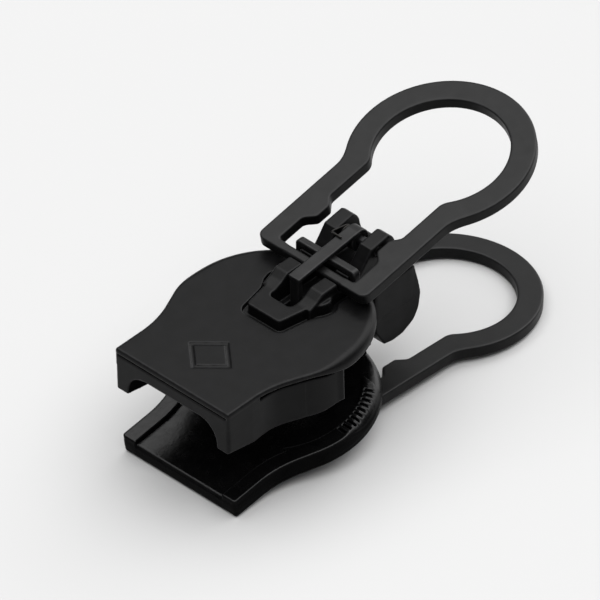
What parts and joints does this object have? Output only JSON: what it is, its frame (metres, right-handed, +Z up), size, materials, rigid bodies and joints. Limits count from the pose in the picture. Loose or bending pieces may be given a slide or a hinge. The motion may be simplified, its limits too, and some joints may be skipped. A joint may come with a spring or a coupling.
{
  "type": "zipper slider",
  "caption": "Hinged zipper slider: two shells that open at the rear, a keyhole pull tab on each side and a sprung lock lever on top.",
  "frame": {"origin": "on the floor, under the middle of the object's box as it lies", "axes": "+X from the rear edge to the nose and the tabs, +Y across to the left, +Z up"},
  "size_m": [0.032, 0.0132, 0.0141],
  "materials": {
    "shell_black": "satin black coating on die-cast zinc, glossier inside",
    "tab_black": "fine matt black coating on flat metal",
    "lock_black": "black oxide with a fine grain",
    "pin_dark": "dark drawn steel",
    "spring_dark": "dark spring steel"
  },
  "bodies": {
    "lower_body": {"lower_shell": "shell_black", "neck_wedge": "shell_black", "wedge_rivets": "pin_dark", "latch_pin": "pin_dark", "latch_spring": "spring_dark", "jaw_spring": "spring_dark", "lower_keeper": "lock_black"},
    "upper_body": {"upper_shell": "shell_black", "hinge_pin": "pin_dark", "upper_keeper": "lock_black", "lever_pin": "pin_dark"},
    "upper_tab": {"upper_pull_tab": "tab_black"},
    "lower_tab": {"lower_pull_tab": "tab_black"},
    "lever": {"lock_lever": "lock_black", "lever_spring": "spring_dark"},
    "latch": {"jaw_latch": "lock_black"}
  },
  "joints": [
    {"name": "jaw_hinge", "type": "hinge", "parent": "lower_body", "child": "upper_body", "pos_m": [0.00167, 0, 0.00595], "axis": [0, 1, 0], "range_deg": [-6.9, 0], "stiffness_Nm_per_rad": 0.003, "springref_deg": 34.38},
    {"name": "upper_tab_hinge", "type": "hinge", "parent": "upper_body", "child": "upper_tab", "pos_m": [-0.00253, 0.0004, 0.01008], "axis": [0, -1, 0], "range_deg": [0, 169]},
    {"name": "lower_tab_hinge", "type": "hinge", "parent": "lower_body", "child": "lower_tab", "pos_m": [-0.00215, 0.0004, 0.00107], "axis": [0, 1, 0], "range_deg": [0, 168]},
    {"name": "lever_hinge", "type": "hinge", "parent": "upper_body", "child": "lever", "pos_m": [0.00082, 0, 0.01083], "axis": [0, 1, 0], "range_deg": [0, 10], "stiffness_Nm_per_rad": 0.00002, "springref_deg": -28.65},
    {"name": "latch_hinge", "type": "hinge", "parent": "lower_body", "child": "latch", "pos_m": [-0.0013, 0, 0.00419], "axis": [0, -1, 0], "range_deg": [0, 9.01]}
  ],
  "couplings": [
    {"joint": "latch_hinge", "follows": "jaw_hinge", "ratio": -1.3043}
  ]
}
